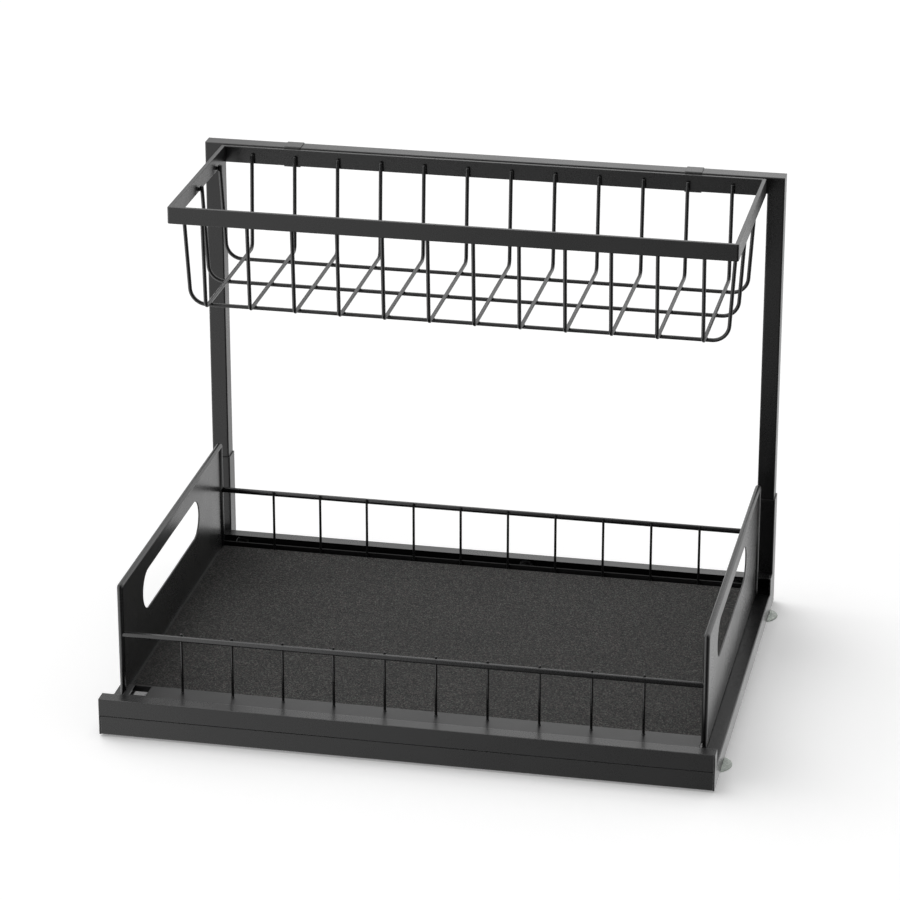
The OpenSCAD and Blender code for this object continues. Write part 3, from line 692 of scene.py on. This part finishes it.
def make_mat():
    """Mat cut to fit the tray: its rounded outline carried up the edge, over a soft top edge
    and inwards."""
    w, d = 2 * MAT_HALF, MAT_BACK - MAT_FRONT
    steps = ((0, 0, 2), (0, 0.7, 2), (0.12, 1.05, 1.9), (0.4, 1.2, 1.7))
    rings = []
    for inward, z, corner in steps:
        flat, _ = rounded_outline(w - 2 * inward * MM, d - 2 * inward * MM, corner * MM, 6)
        rings.append(np.concatenate([flat + (0, (MAT_FRONT + MAT_BACK) / 2),
                                     np.full((len(flat), 1), FLOOR_TOP + z * MM)], -1))
    piece("mat_cut_sheet", skin(np.array(rings)), MAT, "drawer", ["anti_slip_mat"],
          smooth=False)


# Feet and screws
CUP_X = 208.1 * MM
CUP_Y = (-118.7 * MM, 131.3 * MM)
SCREW_PLACE = (207.8 * MM, 159.7 * MM, 76.5 * MM)
# Radius of the ball that the screw's head is cut from, its middle's depth, the cross's depth
SCREW_BALL, BALL_DEPTH, CROSS_DEPTH = 8 * MM, 6 * MM, 1.0 * MM


def make_cups():
    """Suction cups: a profile turned about an upright axis, from the hollow under side over
    the thin lip and the flared top to the neck and the head inside the tube."""
    k = np.linspace(0, 1, 12)
    under = np.stack([1 + 10.6 * k, 1.0 * (1 - k ** 2)], -1)
    lip = [(12.4, 0.0), (13.0, 0.05), (13.25, 0.25), (13.2, 0.5)]
    flare = np.stack([13.0 - 5.6 * k, 0.6 + 0.82 * np.sin(k * math.pi / 2)], -1)
    head = [(6.5, 1.44), (3.5, 1.46), (3.5, 2.73), (4.5, 2.75), (4.5, 3.6), (3.6, 5.2), (1.2, 5.9)]
    r, z = (np.concatenate([under, lip, flare, head]) * MM).T[:, :, None]
    around = np.linspace(0, 2 * math.pi, 72, endpoint=False)[None]
    rings = np.stack([r * np.cos(around), r * np.sin(around), z + 0 * around], -1)
    cup = skin(rings, (0, 0, 1.0 * MM), (0, 0, 5.95 * MM))
    for end, y in zip(("front", "rear"), CUP_Y):
        for hand, side in (("left", -1), ("right", 1)):
            name = f"{end}_{hand}_cup"
            piece(name + "_moulded", moved(cup, (side * CUP_X, y, 0)), RUBBER,
                  "base", [name])


def make_screws():
    """Domed screw heads with a cross recess: rings of a ball's cap, sunk where the cross
    lies, then the edge, the under side and the shank inside the post."""
    r = np.linspace(0.15, 4, 30)[:, None] * MM
    around = np.linspace(0, 2 * math.pi, 96, endpoint=False)[None]
    x, y = r * np.cos(around), r * np.sin(around)

    def bar(a, b):
        """Depth share of one bar of the cross, with soft walls."""
        across = np.clip((0.55 * MM - np.abs(a)) / (0.2 * MM), 0, 1)
        along = np.clip((2.1 * MM - np.abs(b)) / (0.5 * MM), 0, 1)
        return across * along

    cross = np.maximum(bar(x, y), bar(y, x))
    dome = np.sqrt(SCREW_BALL ** 2 - r ** 2) - BALL_DEPTH - CROSS_DEPTH * cross
    head = np.stack([x, y, dome], -1)
    rest = np.array([(4, 0.05), (3.9, 0.02), (2, 0.02), (2, -7.6), (1.6, -8)]) * MM
    tail = np.stack([rest[:, 0, None] * np.cos(around), rest[:, 0, None] * np.sin(around),
                     rest[:, 1, None] + 0 * around], -1)
    points, quads, fans = skin(np.concatenate([head, tail]), (0, 0, 1.0 * MM), (0, 0, -8 * MM))
    points = np.stack([points[:, 0], points[:, 2], -points[:, 1]], -1)
    shifts = np.array(SCREW_PLACE) * [(-1, 1, 1), (1, 1, 1)]
    piece("lock_screws_cross", repeat((points, quads, fans), shifts), ZINC,
          "base", ["lock_screws"])


# Stage
WHITE = 1.0
# Light of the room, its dim part, and the way to that part
ROOM_LIGHT, ROOM_DIM, DIM_WAY = 0.75, 0.25, (0.8, -0.58, 0.1)
# Mirrored brightness by the direction's x: from one x to another, from one level to another
SOFT_PANEL = (-0.32, -0.16, 1.5, 0.1)
FRONT_FADE = (-0.2, 0.0, 0.42, 0.01)
ABOVE_FADE = (-0.28, -0.2, 0.6, 1.4)
FAR_LEFT = (-0.9, -0.4, 1.4, 1.0)
MIRRORED_BEHIND = 0.95
SUN_WAY = (0.50, -0.34, -0.80)
SUN_STRENGTH = 1.15
SUN_ANGLE = 50
FLOOR_SHOWN, FLOOR_GLOW = 1.16, 0.24
# Half sizes of the base's footprint, inside which the floor has no glow: a painted shadow
SHADOW_HALF_X, SHADOW_HALF_Y = 0.215, 0.16
FLOOR_REACH = 14.0
FLOOR_SIDES = 96


def make_world():
    """White surroundings: full white to the camera, soft light from all round, less from the
    front right. In reflections the room is near white behind and above, a bright soft panel
    at the left of the front, and falls off from there to nearly black at the right."""
    world = bpy.data.worlds.new("studio")
    bpy.context.scene.world = world
    world.use_nodes = True
    tree = world.node_tree
    back = tree.nodes["Background"]
    path = add(tree, "LightPath")
    way = add(tree, "TexCoord").outputs["Generated"]
    facing = add(tree, "VectorMath", {0: way, 1: DIM_WAY}, operation="DOT_PRODUCT")
    room = spread(tree, facing.outputs["Value"], -0.2, 0.9, ROOM_LIGHT, ROOM_DIM)
    axes = add(tree, "SeparateXYZ", {0: way})
    x, y, z = (axes.outputs[k] for k in "XYZ")
    front = add(tree, "Math", {0: spread(tree, x, *SOFT_PANEL), 1: spread(tree, x, *FRONT_FADE)},
                operation="ADD").outputs[0]
    above = spread(tree, x, *ABOVE_FADE)
    behind = add(tree, "Mix", {0: spread(tree, z, -0.15, 0.2), 2: MIRRORED_BEHIND,
                               3: above}).outputs[0]
    level = add(tree, "Mix", {0: spread(tree, y, -0.45, 0.1), 2: front, 3: behind}).outputs[0]
    mirror = add(tree, "Math", {0: level, 1: spread(tree, x, *FAR_LEFT)},
                 operation="MULTIPLY").outputs[0]
    light = add(tree, "Mix", {0: path.outputs["Is Glossy Ray"], 2: room, 3: mirror}).outputs[0]
    seen = add(tree, "Mix", {0: path.outputs["Is Camera Ray"], 2: light, 3: WHITE}).outputs[0]
    tree.links.new(seen, back.inputs["Strength"])
    back.inputs["Color"].default_value = (1, 1, 1, 1)


def make_sun():
    """Wide soft light from the upper left and a little behind."""
    data = bpy.data.lights.new("key", "SUN")
    data.energy, data.angle = SUN_STRENGTH, math.radians(SUN_ANGLE)
    lamp = bpy.data.objects.new("key", data)
    x, y, z = SUN_WAY
    lamp.rotation_euler = (math.pi / 2 + math.atan2(z, math.hypot(x, y)), 0, math.atan2(-x, y))
    bpy.context.scene.collection.objects.link(lamp)


def make_floor():
    """Round white floor, a fan of triangles from its middle to points spread evenly on a
    circle. The camera sees it white with the object's shadow and, under the base's footprint,
    a painted shadow where its glow is left out. Reflections and views from below pass through it to
    the room."""
    around = np.linspace(0, 2 * math.pi, FLOOR_SIDES, endpoint=False)
    rim = np.stack([FLOOR_REACH * np.cos(around), FLOOR_REACH * np.sin(around), 0 * around], -1)
    a = np.arange(FLOOR_SIDES)
    mesh = bpy.data.meshes.new("floor")
    mesh.from_pydata(np.concatenate([rim, [[0, 0, 0]]]).tolist(), [],
                     np.stack([a, (a + 1) % FLOOR_SIDES, 0 * a + FLOOR_SIDES], -1).tolist())
    mat, tree, shader = start_material("white_floor")
    out = tree.nodes["Material Output"]
    tree.nodes.remove(shader)
    path = add(tree, "LightPath")
    plain = add(tree, "BsdfDiffuse", {"Color": (0.8, 0.8, 0.8, 1)})
    clear = add(tree, "BsdfTransparent")
    lit = add(tree, "MixShader", {0: path.outputs["Is Glossy Ray"], 1: plain.outputs[0],
                                  2: clear.outputs[0]})
    place = add(tree, "SeparateXYZ", {0: object_place(tree)})
    # Painted shadow: the glow that the camera sees fades to nothing inside the base's footprint
    over = []
    for axis, half in (("X", SHADOW_HALF_X), ("Y", SHADOW_HALF_Y)):
        off = add(tree, "Math", {0: place.outputs[axis]}, operation="ABSOLUTE").outputs[0]
        over.append(add(tree, "Math", {0: off, 1: half}, operation="SUBTRACT").outputs[0])
    outside_painted_shadow = add(tree, "Math", {0: over[0], 1: over[1]}, operation="MAXIMUM").outputs[0]
    lit_colour = FLOOR_SHOWN * (1 - FLOOR_GLOW)
    white = add(tree, "BsdfDiffuse", {"Color": (lit_colour, lit_colour, lit_colour, 1)})
    glowing = add(tree, "Emission", {"Strength": spread(tree, outside_painted_shadow, -0.03, 0.01, 0.0,
                                                       FLOOR_SHOWN * FLOOR_GLOW)})
    seen = add(tree, "AddShader", {0: white.outputs[0], 1: glowing.outputs[0]})
    shown = add(tree, "MixShader", {0: path.outputs["Is Camera Ray"], 1: lit.outputs[0],
                                    2: seen.outputs[0]})
    both = add(tree, "MixShader", {0: add(tree, "NewGeometry").outputs["Backfacing"],
                                   1: shown.outputs[0], 2: clear.outputs[0]})
    tree.links.new(both.outputs[0], out.inputs["Surface"])
    mesh.materials.append(mat)
    floor = bpy.data.objects.new("floor", mesh)
    bpy.context.scene.collection.objects.link(floor)


make_camera()
make_world()
make_floor()
make_sun()
finish_cad_nodes()
make_uprights()
make_rim()
make_hooks()
make_basket()
make_panels()
make_fences()
make_mat()
make_cups()
make_screws()

bpy.context.scene.view_settings.view_transform = "Standard"
